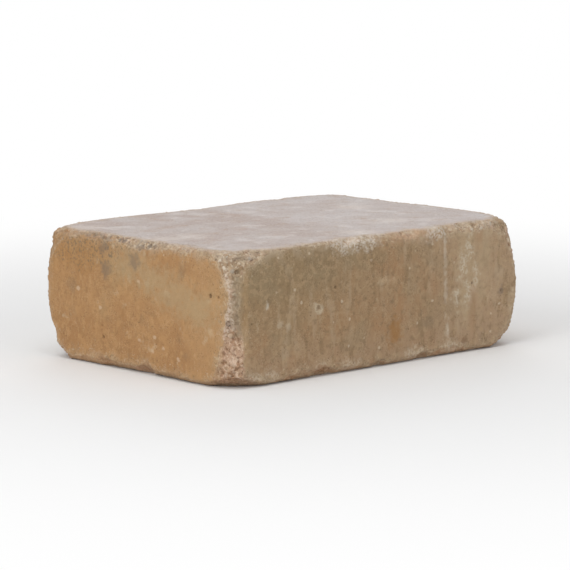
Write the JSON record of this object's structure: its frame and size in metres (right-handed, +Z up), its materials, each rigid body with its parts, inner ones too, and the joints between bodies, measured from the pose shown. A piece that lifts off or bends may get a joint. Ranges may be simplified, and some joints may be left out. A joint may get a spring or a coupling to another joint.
{
  "type": "tumbled wall block",
  "caption": "Solid pressed-concrete block for dry-laid garden walls, with rounded, broken arrises and knocked corners.",
  "frame": {"origin": "middle of the bed face that the block lies on, at the bottom of its box", "axes": "+X along the length from the left end to the right end, +Y from the front face to the back face, +Z up through the height"},
  "size_m": [0.3, 0.21, 0.1],
  "materials": {
    "sandstone_concrete": "matte"
  },
  "bodies": {
    "root": {"wall_block": "sandstone_concrete"}
  },
  "joints": []
}
